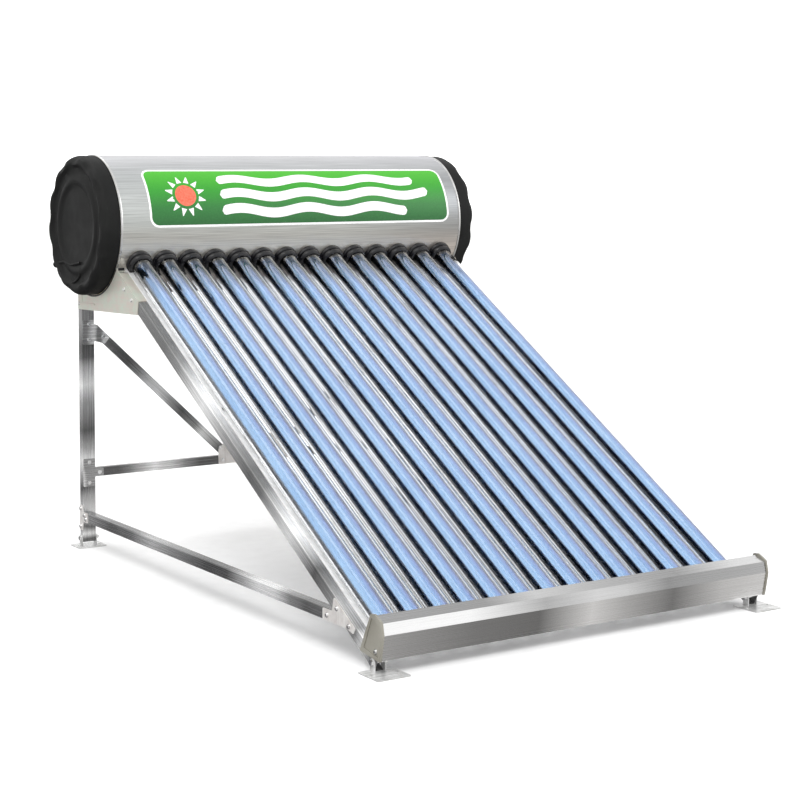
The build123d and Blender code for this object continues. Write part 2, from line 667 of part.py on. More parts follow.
CAP = end_cap()
save("end_cap_left", on_left_end(CAP + port_pocket()))
save("end_cap_right", mirrored(on_left_end(CAP)))
save_pair("trim_ring", trim_ring())

save("tail_tray", tail_tray())
save_pair("tray_end", tray_end())
save("tray_screws", group([tray_screw(), mirrored(tray_screw())]))

save_pair("front_leg", front_leg())
save_pair("rear_post", rear_post())
save_pair("side_beam", side_beam())
save_pair("side_rail", side_rail())
save_pair("tank_saddle", tank_saddle())
save_pair("rear_brace", rear_brace())
save("rear_cross_beam", rear_cross_beam())
save("brace_centre_plate", brace_centre_plate())
save("saddle_trims", group([saddle_trim(), mirrored(saddle_trim())]))
save("upper_post_plates", group([upper_post_plate(), mirrored(upper_post_plate())]))
save("mid_post_plates", group([mid_post_plate(), mirrored(mid_post_plate())]))
save("lower_post_plates", group([lower_post_plate(), mirrored(lower_post_plate())]))
save("lower_gussets", group([lower_gusset(), mirrored(lower_gusset())]))

LEFT_SCREWS = [place * flange_screw() for place in SCREW_PLACES]
save("frame_screws", group(LEFT_SCREWS + [mirrored(s) for s in LEFT_SCREWS]))

save_pair("foot_front", foot(LEG_X, LEG_GAP, *FRONT_PIVOT, -1560.0, FRONT_FOOT_FRONT_Y))
save_pair("foot_rear", foot(POST_X, POST_GAP, REAR_PIVOT_Y, PIVOT_Z, 130.0, 62.0))
FRONT_BOLT = foot_bolt(LEG_X, LEG_GAP, *FRONT_PIVOT)
REAR_BOLT = foot_bolt(POST_X, POST_GAP, REAR_PIVOT_Y, PIVOT_Z)
save("foot_bolts", group([FRONT_BOLT, REAR_BOLT, mirrored(FRONT_BOLT), mirrored(REAR_BOLT)]))
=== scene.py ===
import json
from math import cos, pi, radians, sin, sqrt

import bmesh
import bpy
from mathutils import Matrix, Vector


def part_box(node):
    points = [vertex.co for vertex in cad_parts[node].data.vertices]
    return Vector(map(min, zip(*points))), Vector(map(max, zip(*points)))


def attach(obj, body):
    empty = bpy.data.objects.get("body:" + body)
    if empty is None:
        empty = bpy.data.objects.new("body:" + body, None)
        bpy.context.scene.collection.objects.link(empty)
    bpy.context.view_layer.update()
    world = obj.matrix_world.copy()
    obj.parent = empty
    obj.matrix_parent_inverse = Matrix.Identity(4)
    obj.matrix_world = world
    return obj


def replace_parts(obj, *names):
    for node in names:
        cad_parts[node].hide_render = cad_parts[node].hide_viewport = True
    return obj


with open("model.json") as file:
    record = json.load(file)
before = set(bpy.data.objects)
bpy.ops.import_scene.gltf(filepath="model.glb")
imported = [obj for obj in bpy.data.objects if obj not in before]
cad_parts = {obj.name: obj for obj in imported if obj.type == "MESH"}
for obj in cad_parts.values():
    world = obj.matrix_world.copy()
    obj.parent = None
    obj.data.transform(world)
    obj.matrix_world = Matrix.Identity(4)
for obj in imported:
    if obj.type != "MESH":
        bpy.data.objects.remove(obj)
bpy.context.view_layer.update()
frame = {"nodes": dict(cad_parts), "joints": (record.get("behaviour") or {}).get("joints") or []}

# ---------------------------------------------------------------- places read from the frame
SHELL_LOW, SHELL_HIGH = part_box("outer_shell")
AXIS = (SHELL_LOW + SHELL_HIGH) / 2
TANK_R = (SHELL_HIGH.z - SHELL_LOW.z) / 2
UP_TUBE = Vector(next(j["axis"] for j in frame["joints"] if j["child"] == "tube_01"))
TUBES = sorted(name for name in frame["nodes"] if name.startswith("evacuated_tube_"))

# A tube's radii, and how far down from the tank's axis its parts begin and end.
GLASS_R = 0.029
GLASS_WALL = 0.0018
GLASS_TOP = 0.049
GLASS_DOME = 1.812
TIP_END = 1.849
COATING_R = 0.0235
COATING_TOP = 0.053
COATING_DOME = 1.802
GETTER_TOP = 1.782

# The label on the shell, as distances along it and angles above the horizontal.
LABEL_LOW_X = -0.508
LABEL_HIGH_X = 0.556
LABEL_LOW_ANGLE = radians(-1)
LABEL_HIGH_ANGLE = radians(52)
LABEL_CORNER = 0.030
LABEL_BORDER = 0.0065

# How far each of the label's layers lies off the shell, so that none of them touch.
EDGE_LIFT = 0.0002
PANEL_LIFT = 0.00035
INK_LIFT = 0.0005


# ---------------------------------------------------------------- mesh helpers
def piece(name, mesh, slot, body, *materials):
    """A new object in the scene that takes those materials and rides on that body. The slot is not used.
    """
    thing = bpy.data.objects.new(name, mesh)
    bpy.context.scene.collection.objects.link(thing)
    for material in materials:
        if material.name not in mesh.materials:
            mesh.materials.append(material)
    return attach(thing, body) if body else thing


def mesh_of(name, points, faces, smooth_below=radians(35)):
    """A mesh that is shaded smooth, with its edges sharper than that angle kept sharp."""
    mesh = bpy.data.meshes.new(name)
    mesh.from_pydata(points, [], faces)
    work = bmesh.new()
    work.from_mesh(mesh)
    bmesh.ops.remove_doubles(work, verts=work.verts, dist=1e-6)
    bmesh.ops.recalc_face_normals(work, faces=work.faces)
    work.to_mesh(mesh)
    work.free()
    mesh.shade_smooth()
    mesh.set_sharp_from_angle(angle=smooth_below)
    return mesh


def grid_faces(rows, columns, wrap_rows=False, wrap_columns=False):
    """The faces that join a grid of points, stored row by row."""
    faces = []
    for i in range(rows if wrap_rows else rows - 1):
        for j in range(columns if wrap_columns else columns - 1):
            low, high = i * columns, (i + 1) % rows * columns
            across = (j + 1) % columns
            faces.append((low + j, low + across, high + across, high + j))
    return faces


def lathe(name, outline, segments=40, closed=False):
    """A mesh turned about Z from (radius, height) points."""
    points = []
    for radius, height in outline:
        for k in range(segments):
            turn = 2 * pi * k / segments
            points.append((radius * cos(turn), radius * sin(turn), height))
    return mesh_of(name, points, grid_faces(len(outline), segments, closed, True))


def dome(radius, start, steps=10):
    """Outline points of a round end, from its full radius to the middle."""
    turns = [pi / 2 * k / steps for k in range(steps + 1)]
    return [(radius * cos(turn), start + radius * sin(turn)) for turn in turns]


def down_tube(x):
    """The place on the tank's axis whose Z runs down a tube and whose Y looks out of the tubes' plane."""
    down = -UP_TUBE
    across = Vector((1, 0, 0))
    turn = Matrix((across, down.cross(across), down)).transposed().to_4x4()
    return Matrix.Translation((x, AXIS.y, AXIS.z)) @ turn


def on_shell(x, angle, lift):
    """The point on the front of the shell at that X and angle above the horizontal."""
    radius = TANK_R + lift
    return (x, AXIS.y - radius * cos(angle), AXIS.z + radius * sin(angle))


# ---------------------------------------------------------------- material helpers
class Nodes:
    """A node tree under construction. An input is a value or the socket that feeds it."""

    def __init__(self, tree):
        self.tree = tree

    def add(self, kind, inputs, **settings):
        """A node of that kind, with those inputs and settings."""
        node = self.tree.nodes.new("ShaderNode" + kind)
        for name, value in settings.items():
            setattr(node, name, value)
        for name, value in inputs.items():
            if isinstance(value, bpy.types.NodeSocket):
                self.tree.links.new(value, node.inputs[name])
            else:
                node.inputs[name].default_value = value
        return node

    def math(self, operation, *numbers):
        """That operation on two or three numbers."""
        return self.add("Math", dict(enumerate(numbers)), operation=operation).outputs[0]

    def dot(self, vector, along):
        """How far a vector reaches along a direction."""
        return self.add("VectorMath", {0: vector, 1: along}, operation="DOT_PRODUCT").outputs["Value"]

    def spread(self, factor, low, high, to_low=0.0, to_high=1.0):
        """factor from low to high, made to run from to_low to to_high."""
        inputs = {"Value": factor, "From Min": low, "From Max": high}
        inputs.update({"To Min": to_low, "To Max": to_high})
        return self.add("MapRange", inputs).outputs[0]

    def mix(self, factor, a, b, blend="MIX"):
        """Two colours mixed by factor."""
        node = self.add("Mix", {"Factor": factor}, data_type="RGBA", blend_type=blend)
        for name, value in (("A_Color", a), ("B_Color", b)):
            socket = next(s for s in node.inputs if s.identifier == name)
            if isinstance(value, bpy.types.NodeSocket):
                self.tree.links.new(value, socket)
            else:
                socket.default_value = (*value, 1)
        return next(s for s in node.outputs if s.identifier == "Result_Color")


class Look(Nodes):
    """A node material under construction. Its patterns are fixed to the piece it is on."""

    def __init__(self, name, color, roughness, metallic=0.0):
        self.material = bpy.data.materials.new(name)
        self.material.use_nodes = True
        super().__init__(self.material.node_tree)
        self.shader = self.tree.nodes["Principled BSDF"]
        self.set("Base Color", (*color, 1))
        self.set("Roughness", roughness)
        self.set("Metallic", metallic)
        self.coordinates = self.add("TexCoord", {}).outputs
        self.place = self.coordinates["Object"]

    def set(self, socket, value):
        self.shader.inputs[socket].default_value = value

    def noise(self, cell, along=(0, 0, 1), detail=3.0):
        """Cloudy noise. Its cells' sides are in metres, and the third one lies along a direction."""
        turn = Vector((0, 0, 1)).rotation_difference(Vector(along)).to_euler()
        inputs = {"Vector": self.place, "Scale": cell, "Rotation": turn}
        place = self.add("Mapping", inputs, vector_type="TEXTURE").outputs[0]
        return self.add("TexNoise", {"Vector": place, "Scale": 1.0, "Detail": detail}).outputs[0]

    def distance(self, along):
        """How far a point lies along a direction, in metres."""
        return self.dot(self.place, along)

    def coordinate(self, axis):
        """One coordinate of the piece, in metres."""
        return self.add("SeparateXYZ", {"Vector": self.place}).outputs[axis]

    def tones(self, factor, stops):
        """Greys along factor, where each stop is (place, brightness)."""
        low, high = stops[0][0], stops[-1][0]
        greys = [((place - low) / (high - low), (tone, tone, tone)) for place, tone in stops]
        return self.ramp(self.spread(factor, low, high), *greys)

    def ramp(self, factor, *stops):
        """Colours along factor, where each stop is (position, (red, green, blue))."""
        node = self.add("ValToRGB", {"Fac": factor})
        elements = node.color_ramp.elements
        elements.remove(elements[1])
        for position, color in stops:
            element = elements.new(position) if position != stops[0][0] else elements[0]
            element.position = position
            element.color = (*color, 1)
        return node.outputs[0]

    def paint(self, color):
        self.tree.links.new(color, self.shader.inputs["Base Color"])

    def rough(self, factor):
        self.tree.links.new(factor, self.shader.inputs["Roughness"])

    def bump(self, pattern, height):
        """Relief that follows a pattern, up to that height in metres."""
        node = self.add("Bump", {"Height": pattern, "Distance": height, "Strength": 1.0})
        self.tree.links.new(node.outputs[0], self.shader.inputs["Normal"])


# ---------------------------------------------------------------- materials
ALONG_X = Vector((1, 0, 0))
ALONG_Y = Vector((0, 1, 0))
ALONG_Z = Vector((0, 0, 1))


def stainless(name, along, stops, low_rough=0.18, high_rough=0.32):
    """Rolled stainless sheet: fine brushing along it, and painted reflection and shade as light and dark
    bands along it.

    Each stop is (distance along the direction, brightness), as in Look.tones.
    """
    look = Look(name, (0.7, 0.7, 0.7), low_rough, metallic=0.55)
    brushing = look.noise((0.0012, 0.0012, 0.25), along, detail=4.0)
    drift = look.spread(look.noise((0.2, 0.2, 0.2), detail=1.0), 0.3, 0.7, -0.02, 0.02)
    place = look.math("ADD", look.distance(along), drift)
    lines = look.ramp(brushing, (0.3, (0.80, 0.80, 0.80)), (0.62, (1.0, 1.0, 1.0)))
    # Painted reflection and shade: the stops set light and dark bands along the member.
    look.paint(look.mix(1.0, look.tones(place, stops), lines, "MULTIPLY"))
    look.rough(look.spread(brushing, 0.3, 0.7, low_rough, high_rough))
    look.bump(brushing, 0.00003)
    return look.material


def tank_skin():
    """Brushed sheet that runs round the tank, with painted reflection and shade by height: warm and
    bright towards its underside, grey above, and deeper painted shade at mid-height towards its right.
    """
    look = Look("tank_skin_brushed", (0.7, 0.7, 0.7), 0.34, metallic=1.0)
    brushing = look.noise((0.0011, 0.0011, 0.16), ALONG_X, detail=4.0)
    height = look.spread(look.coordinate("Z"), AXIS.z - TANK_R, AXIS.z + TANK_R)
    # Painted reflection and shade by height: warm and bright low down, grey above.
    left = look.ramp(
        height,
        (0.0, (0.98, 0.90, 0.82)),
        (0.30, (0.95, 0.92, 0.85)),
        (0.52, (0.56, 0.58, 0.56)),
        (0.85, (0.59, 0.61, 0.61)),
        (1.0, (0.68, 0.68, 0.70)),
    )
    # The same with deeper painted shade at mid-height, used towards the shell's right end.
    right = look.ramp(
        height,
        (0.0, (0.98, 0.88, 0.80)),
        (0.30, (0.84, 0.77, 0.71)),
        (0.45, (0.44, 0.44, 0.43)),
        (0.60, (0.33, 0.34, 0.35)),
        (0.72, (0.35, 0.36, 0.37)),
        (0.90, (0.55, 0.56, 0.57)),
        (1.0, (0.66, 0.66, 0.69)),
    )
    tone = look.mix(look.spread(look.coordinate("X"), 0.15, 0.58), left, right)
    lines = look.ramp(brushing, (0.32, (0.66, 0.66, 0.66)), (0.62, (1.0, 1.0, 1.0)))
    look.paint(look.mix(1.0, tone, lines, "MULTIPLY"))
    look.rough(look.spread(brushing, 0.3, 0.7, 0.28, 0.46))
    look.bump(brushing, 0.00006)
    return look.material


def moulded(name, dark, light, roughness, shine=0.5):
    """Moulded plastic: a fine spark-eroded grain under broad scuffed patches."""
    look = Look(name, light, roughness)
    look.set("Specular IOR Level", shine)
    patches = look.noise((0.07, 0.07, 0.07), detail=5.0)
    look.paint(look.ramp(patches, (0.35, dark), (0.75, light)))
    look.rough(look.spread(patches, 0.3, 0.7, roughness - 0.1, roughness + 0.12))
    look.bump(look.noise((0.0009, 0.0009, 0.0009), detail=2.0), 0.00012)
    return look.material


def rubber(name, dark, light, roughness=0.45):
    """Rubber with a faint bloom in patches."""
    look = Look(name, dark, roughness)
    bloom = look.noise((0.012, 0.012, 0.012), detail=4.0)
    look.paint(look.ramp(bloom, (0.4, dark), (0.8, light)))
    look.rough(look.spread(bloom, 0.3, 0.7, roughness - 0.12, roughness + 0.15))
    look.bump(look.noise((0.0016, 0.0016, 0.0016)), 0.0001)
    return look.material


def polished(name, dark, light, roughness=0.14):
    """Bright plated or rolled metal with faint haze."""
    look = Look(name, light, roughness, metallic=1.0)
    haze = look.noise((0.04, 0.04, 0.04), detail=3.0)
    look.paint(look.ramp(haze, (0.3, dark), (0.7, light)))
    look.rough(look.spread(haze, 0.3, 0.7, roughness, roughness + 0.16))
    look.bump(look.noise((0.0015, 0.0015, 0.0015)), 0.00002)
    return look.material


def satin(name, dark, light, roughness, along):
    """Satin sheet: part metal, part pale oxide, with fine drawing lines."""
    look = Look(name, light, roughness, metallic=0.4)
    lines = look.noise((0.001, 0.001, 0.3), along, detail=3.0)
    patches = look.noise((0.03, 0.03, 0.03), detail=3.0)
    look.paint(look.ramp(look.mix(0.5, lines, patches), (0.35, dark), (0.65, light)))
    look.rough(look.spread(lines, 0.3, 0.7, roughness - 0.08, roughness + 0.08))
    look.bump(lines, 0.00003)
    return look.material


def label_film():
    """Glossy film, fresh green at the top and deep green at the bottom, with a fine print grain."""
    look = Look("label_film", (0.1, 0.45, 0.1), 0.22)
    low_z = AXIS.z + TANK_R * sin(LABEL_LOW_ANGLE)
    high_z = AXIS.z + TANK_R * sin(LABEL_HIGH_ANGLE)
    height = look.spread(look.coordinate("Z"), low_z, high_z)
    tone = look.ramp(
        height,
        (0.0, (0.008, 0.095, 0.020)),
        (0.35, (0.008, 0.150, 0.018)),
        (0.65, (0.018, 0.270, 0.012)),
        (1.0, (0.055, 0.420, 0.010)),
    )
    grain = look.noise((0.004, 0.004, 0.004), detail=4.0)
    look.paint(look.mix(0.04, tone, look.ramp(grain, (0.3, (0, 0.1, 0)), (0.7, (0.2, 0.8, 0.2)))))
    look.rough(look.spread(grain, 0.3, 0.7, 0.34, 0.44))
    return look.material


def printed(name, dark, light):
    """Opaque ink on the label, slightly uneven."""
    look = Look(name, light, 0.3)
    ink = look.noise((0.006, 0.006, 0.006), detail=4.0)
    look.paint(look.ramp(ink, (0.3, dark), (0.65, light)))
    look.rough(look.spread(ink, 0.3, 0.7, 0.25, 0.38))
    return look.material


def clear_glass():
    """Clear borosilicate glass with faint drawing lines along the tube."""
    look = Look("borosilicate_glass", (0.97, 0.985, 1.0), 0.01)
    look.set("Transmission Weight", 1.0)
    look.set("IOR", 1.47)
    look.bump(look.noise((0.006, 0.006, 0.9), detail=2.0), 0.00003)
    return look.material


def absorber_coating():
    """The sputtered absorber: blue towards the sky, with painted shade on its underside, a painted violet
    reflection and a painted shade band on its +X side, and navy near the tank.

    In a tube's own frame X is the heater's, Y looks out of the tubes' plane and Z runs down.
    """
    look = Look("absorber_coating", (0.18, 0.32, 0.56), 0.16, metallic=1.0)
    drift = look.noise((0.03, 0.03, 0.35), detail=3.0)
    blue = look.ramp(drift, (0.3, (0.150, 0.270, 0.45)), (0.7, (0.240, 0.365, 0.52)))
    # Painted reflection: the coating turns violet towards its +X side.
    painted_violet_side = look.spread(look.coordinate("X"), -0.5 * COATING_R, 0.05 * COATING_R)
    violet = look.mix(painted_violet_side, blue, (0.150, 0.205, 0.40))
    # Painted shade: a dark band along its +X edge.
    painted_shade_side = look.spread(look.coordinate("X"), -0.02 * COATING_R, 0.26 * COATING_R)
    banded = look.mix(painted_shade_side, violet, (0.020, 0.032, 0.085))
    ragged = look.spread(look.noise((0.012, 0.012, 0.10), detail=3.0), 0.3, 0.7, -0.05, 0.05)
    down = look.math("ADD", look.coordinate("Z"), ragged)
    facing_sky = look.mix(look.spread(down, 0.24, 0.42), (0.012, 0.026, 0.070), banded)
    # Painted shade: the underside, facing away from the sky, goes near-black navy.
    lit = look.spread(look.coordinate("Y"), 0.08 * COATING_R, 0.40 * COATING_R)
    look.paint(look.mix(lit, (0.005, 0.008, 0.020), facing_sky))
    look.rough(look.spread(drift, 0.3, 0.7, 0.08, 0.14))
    look.bump(look.noise((0.012, 0.012, 0.5)), 0.00001)
    return look.material


def tray_sheet():
    """Bright brushed sheet with painted reflection and shade: its flange, slanted face and front each
    have light and dark bands of their own.
    """
    look = Look("tray_stainless", (0.7, 0.7, 0.7), 0.3, metallic=1.0)
    brushing = look.noise((0.0012, 0.0012, 0.25), ALONG_X, detail=4.0)
    facing = look.add("SeparateXYZ", {"Vector": look.coordinates["Normal"]}).outputs["Z"]
    place = look.distance(ALONG_X)
    # Painted reflection and shade: each face gets its own light and dark bands along X.
    front = look.tones(place, TRAY_FRONT_PAINTED_LIGHT)
    slanted = look.tones(place, TRAY_SLANTED_PAINTED_LIGHT)
    face = look.mix(look.spread(facing, -0.05, 0.05), front, slanted)
    tone = look.mix(look.spread(facing, 0.5, 0.7), face, look.tones(place, TRAY_TOP_PAINTED_LIGHT))
    lines = look.ramp(brushing, (0.3, (0.88, 0.88, 0.88)), (0.65, (1.0, 1.0, 1.0)))
    look.paint(look.mix(1.0, tone, lines, "MULTIPLY"))
    look.rough(look.spread(brushing, 0.3, 0.7, 0.20, 0.32))
    look.bump(brushing, 0.00003)
    return look.material


def milky_plastic():
    """Half-clear moulded plastic for the cups."""
    look = Look("milky_plastic", (0.86, 0.88, 0.90), 0.28)
    flow = look.noise((0.01, 0.01, 0.01), detail=4.0)
    look.paint(look.ramp(flow, (0.3, (0.70, 0.73, 0.76)), (0.7, (0.92, 0.93, 0.95))))
    look.rough(look.spread(flow, 0.3, 0.7, 0.2, 0.36))
    look.set("Transmission Weight", 0.45)
    look.set("IOR", 1.49)
    return look.material


def foam():
    """Cut polyurethane foam, with open cells and darker skin in patches."""
    look = Look("insulation_foam_cells", (0.8, 0.7, 0.45), 0.9)
    cells = look.noise((0.002, 0.002, 0.002), detail=2.0)
    patches = look.noise((0.05, 0.05, 0.05), detail=4.0)
    look.paint(look.ramp(patches, (0.3, (0.62, 0.50, 0.28)), (0.7, (0.85, 0.76, 0.52))))
    look.bump(cells, 0.0006)
    return look.material


def mirrored(*stops):
    """Stops on the heater's left side, given from the outside inwards, and their mirror image."""
    return (*stops, *((-place, tone) for place, tone in reversed(stops)))


# The painted reflection and shade on each member's sheet, as light and dark bands given as (place,
# brightness).
# A place is how far it lies along the member's direction from the frame's origin, in metres.
POST_PAINTED_LIGHT = (
    (0.0, 0.3), (0.03, 0.15), (0.05, 0.9), (0.075, 0.15), (0.108, 0.95), (0.18, 0.12),
    (0.275, 0.95), (0.31, 0.5), (0.36, 0.14), (0.43, 0.42), (0.48, 0.98), (0.545, 0.45),
    (0.575, 0.15), (0.62, 0.12), (0.70, 0.34), (0.78, 0.30),
)
BEAM_PAINTED_LIGHT = (
    (-0.70, 0.22), (-0.57, 0.15), (-0.486, 0.32), (-0.42, 0.95), (-0.34, 0.98), (-0.264, 0.6),
    (-0.153, 0.12), (-0.02, 0.10), (0.185, 0.35), (0.33, 0.6), (0.45, 0.2), (0.59, 0.13), (0.73, 0.32),
)
LEG_PAINTED_LIGHT = (
    (-0.75, 0.2), (-0.69, 0.9), (-0.64, 0.3), (-0.554, 0.45), (-0.43, 0.13), (-0.364, 0.5),
    (-0.279, 0.95), (-0.226, 0.8), (-0.134, 0.22), (-0.048, 0.16), (0.095, 0.4), (0.176, 0.6),
    (0.258, 0.98), (0.313, 0.82), (0.423, 0.30), (0.533, 0.17), (0.80, 0.20),
)
BRACE_PAINTED_LIGHT = (
    (-0.80, 0.2), (-0.739, 0.13), (-0.701, 0.14), (-0.647, 0.32), (-0.594, 0.85), (-0.55, 0.95),
    (-0.507, 0.5), (-0.459, 0.14), (-0.40, 0.32), (-0.362, 0.9), (-0.324, 0.6), (-0.27, 0.16),
)
CROSS_PAINTED_LIGHT = mirrored(
    (-0.56, 0.13), (-0.50, 0.14), (-0.455, 0.27), (-0.40, 0.65), (-0.365, 0.98), (-0.31, 0.75),
    (-0.26, 0.32), (-0.20, 0.14), (-0.12, 0.13),
)
UPPER_PLATE_PAINTED_LIGHT = mirrored(
    (-0.602, 0.9), (-0.592, 0.25), (-0.578, 0.28), (-0.562, 0.75), (-0.553, 0.9), (-0.545, 0.25),
    (-0.532, 0.30), (-0.522, 0.9),
)
MID_PLATE_PAINTED_LIGHT = mirrored((-0.602, 0.9), (-0.592, 0.34), (-0.55, 0.42), (-0.53, 0.45))
TRAY_TOP_PAINTED_LIGHT = (
    (-0.60, 0.37), (-0.30, 0.34), (-0.15, 0.60), (0.10, 0.44), (0.30, 0.34), (0.50, 0.70), (0.60, 0.75),
)
TRAY_SLANTED_PAINTED_LIGHT = (
    (-0.60, 0.98), (-0.36, 0.97), (-0.25, 0.72), (-0.13, 0.46), (0.03, 0.68), (0.12, 0.62),
    (0.26, 0.30), (0.40, 0.38), (0.60, 0.44),
)
TRAY_FRONT_PAINTED_LIGHT = (
    (-0.60, 0.52), (-0.34, 0.30), (-0.15, 0.24), (0.015, 0.98), (0.12, 0.66), (0.28, 0.28),
    (0.45, 0.80), (0.60, 0.98),
)

BRACE_LEFT = Vector((0.7285, 0, -0.685))
BRACE_RIGHT = Vector((-0.7285, 0, -0.685))
SADDLE_STEEL = satin("saddle_sheet", (0.56, 0.47, 0.43), (0.50, 0.57, 0.49), 0.4, ALONG_Y)
PLATE_STEEL = satin("pressed_plate", (0.56, 0.52, 0.50), (0.84, 0.83, 0.81), 0.34, ALONG_Z)
FOOT_STEEL = satin("foot_plate", (0.42, 0.42, 0.41), (0.84, 0.84, 0.84), 0.3, ALONG_X)
RAIL_STEEL = satin("rail_satin", (0.80, 0.80, 0.80), (0.97, 0.97, 0.97), 0.4, UP_TUBE)
SCREW_STEEL = polished("screw_plating", (0.75, 0.75, 0.75), (0.97, 0.97, 0.97))
RIM_STEEL = polished("rolled_rim", (0.58, 0.58, 0.57), (0.74, 0.74, 0.73), 0.22)
CAP_PLASTIC = moulded("cap_plastic", (0.007, 0.007, 0.007), (0.013, 0.0135, 0.013), 0.55, 0.14)
END_PLASTIC = moulded("end_plate_plastic", (0.20, 0.19, 0.16), (0.30, 0.29, 0.25), 0.42)
BLACK_RUBBER = rubber("black_rubber", (0.004, 0.004, 0.006), (0.012, 0.012, 0.015), 0.32)
RED_RUBBER = rubber("silicone_seal", (0.36, 0.07, 0.04), (0.50, 0.12, 0.07))
BRASS = polished("machined_brass", (0.55, 0.38, 0.14), (0.78, 0.58, 0.26), 0.2)
ANODE_METAL = polished("cast_anode", (0.30, 0.30, 0.30), (0.5, 0.5, 0.5), 0.5)
INNER_STEEL = stainless("inner_tank_sheet", ALONG_X, ((-0.6, 0.5), (0.0, 0.66), (0.6, 0.5)), 0.3, 0.45)
GLASS = clear_glass()
COATING = absorber_coating()
GETTER = polished("getter_mirror", (0.55, 0.57, 0.60), (0.85, 0.87, 0.90), 0.1)

NODE_MATERIALS = {
    "outer_shell": tank_skin(),
    "inner_tank": INNER_STEEL,
    "insulation_foam": foam(),
    "end_cap_": CAP_PLASTIC,
    "trim_ring_": RIM_STEEL,
    "cold_water_port": BRASS,
    "hot_water_port": BRASS,
    "vent_port": BRASS,
    "anode_rod": ANODE_METAL,
    "tube_seals": RED_RUBBER,
    "dust_rings": BLACK_RUBBER,
    "saddle_trims": BLACK_RUBBER,
    "tail_cups": milky_plastic(),
    "tail_tray": tray_sheet(),
    "tray_end_": END_PLASTIC,
    "front_leg_": stainless("leg_sheet", UP_TUBE, LEG_PAINTED_LIGHT),
    "rear_post_": stainless("post_sheet", ALONG_Z, POST_PAINTED_LIGHT),
    "side_beam_": stainless("beam_sheet", ALONG_Y, BEAM_PAINTED_LIGHT),
    "rear_brace_left": stainless("brace_sheet_left", BRACE_LEFT, BRACE_PAINTED_LIGHT),
    "rear_brace_right": stainless("brace_sheet_right", BRACE_RIGHT, BRACE_PAINTED_LIGHT),
    "rear_cross_beam": stainless("cross_beam_sheet", ALONG_X, CROSS_PAINTED_LIGHT),
    "side_rail_": RAIL_STEEL,
    "tank_saddle_": SADDLE_STEEL,
    "brace_centre_plate": PLATE_STEEL,
    "upper_post_plates": stainless("upper_plate_sheet", ALONG_X, UPPER_PLATE_PAINTED_LIGHT),
    "mid_post_plates": stainless("mid_plate_sheet", ALONG_X, MID_PLATE_PAINTED_LIGHT),
    "lower_post_plates": PLATE_STEEL,
    "lower_gussets": PLATE_STEEL,
    "foot_front_": FOOT_STEEL,
    "foot_rear_": FOOT_STEEL,
    "frame_screws": SCREW_STEEL,
    "tray_screws": SCREW_STEEL,
    "foot_bolts": SCREW_STEEL,
}


def finish_cad_nodes():
    """Gives every CAD node that stays its material."""
    for name, node in frame["nodes"].items():
        for start, material in NODE_MATERIALS.items():
            if name.startswith(start):
                node.data.materials.clear()
                node.data.materials.append(material)


# ---------------------------------------------------------------- the glass tubes
def glass_outline():
    """The wall of the outer tube, with its round end and the sealed-off tip."""
    outside = [(GLASS_R, GLASS_TOP), (GLASS_R, GLASS_DOME)] + dome(GLASS_R, GLASS_DOME)[1:-1]
    tip = [(0.0034, TIP_END - 0.0075), (0.0028, TIP_END - 0.004), (0.0014, TIP_END - 0.001)]
    tip.append((0, TIP_END))
    bore = GLASS_R - GLASS_WALL
    inside = list(reversed(dome(bore, GLASS_DOME)))
    return outside + tip + inside + [(bore, GLASS_TOP)]


def add_tubes():
    """Each tube as its clear outer glass, its coated inner tube and the getter's mirror."""
    glass = lathe("tube_glass", glass_outline(), closed=True)
    coating = lathe("tube_coating", [(COATING_R, COATING_TOP)] + dome(COATING_R, COATING_DOME))
    inner_r = GLASS_R - GLASS_WALL - 0.0003
    getter = lathe("tube_getter", [(inner_r, GETTER_TOP)] + dome(inner_r, GLASS_DOME))
    for node in TUBES:
        number = node[-2:]
        low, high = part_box(node)
        place = down_tube((low.x + high.x) / 2)
        for kind, mesh, material in (
            ("glass", glass, GLASS),
            ("coating", coating, COATING),
            ("getter", getter, GETTER),
        ):
            thing = piece(f"tube_{kind}_{number}", mesh, "tube_glass", None, material)
            thing.matrix_world = place
            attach(thing, f"tube_{number}")
            if kind == "glass":
                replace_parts(thing, node)


# ---------------------------------------------------------------- the end caps
# How far outside the shell's end the discs of the caps lie, and how many dents an edge has.
CAP_FACE = 0.049
CAP_DENTS = 13

# What stands on the left cap's disc, as (y, z) from the tank's axis.
LEDGE = [(0.160, -0.119), (0.125, -0.117), (0.095, -0.112), (0.065, -0.118), (0.035, -0.121)]
LEDGE += [(0.005, -0.114), (-0.025, -0.111)]
GRIP = [(-0.026, 0.1265), (0.0, 0.1285), (0.026, 0.1265)]
GLAND = (0.157, -0.124)


def recess_line():
    """The rim of the round recess below the ledge, as (y, z) from the tank's axis."""
    middle_y, middle_z = 0.058, -0.126
    half_width, depth = 0.088, 0.050
    turns = [pi * k / 12 for k in range(13)]
    return [(middle_y + half_width * cos(turn), middle_z - depth * sin(turn)) for turn in turns]


def cap_outline(dent):
    """A cap's (radius, depth) outline, in metres, where its edge is drawn in by dent from 0 to 1."""
    return [
        (0.2085, 0.0),
        (0.2085, 0.036),
        (0.2075, 0.041),
        (0.2045 - 0.004 * dent, 0.048),
        (0.2000 - 0.007 * dent, 0.0545 - 0.002 * dent),
        (0.1925 - 0.006 * dent, 0.0568 - 0.0015 * dent),
        (0.1850 - 0.004 * dent, 0.0560),
        (0.1775 - 0.002 * dent, 0.0510),
        (0.1720, 0.0478),
        (0.1550, 0.0470),
        (0.1480, 0.0485),
        (0.1420, 0.0518),
        (0.1340, 0.0524),
        (0.1270, 0.0505),
        (0.1200, 0.0468),
        (0.1100, 0.0460),
        (0.0500, 0.0464),
        (0.0, 0.0466),
    ]


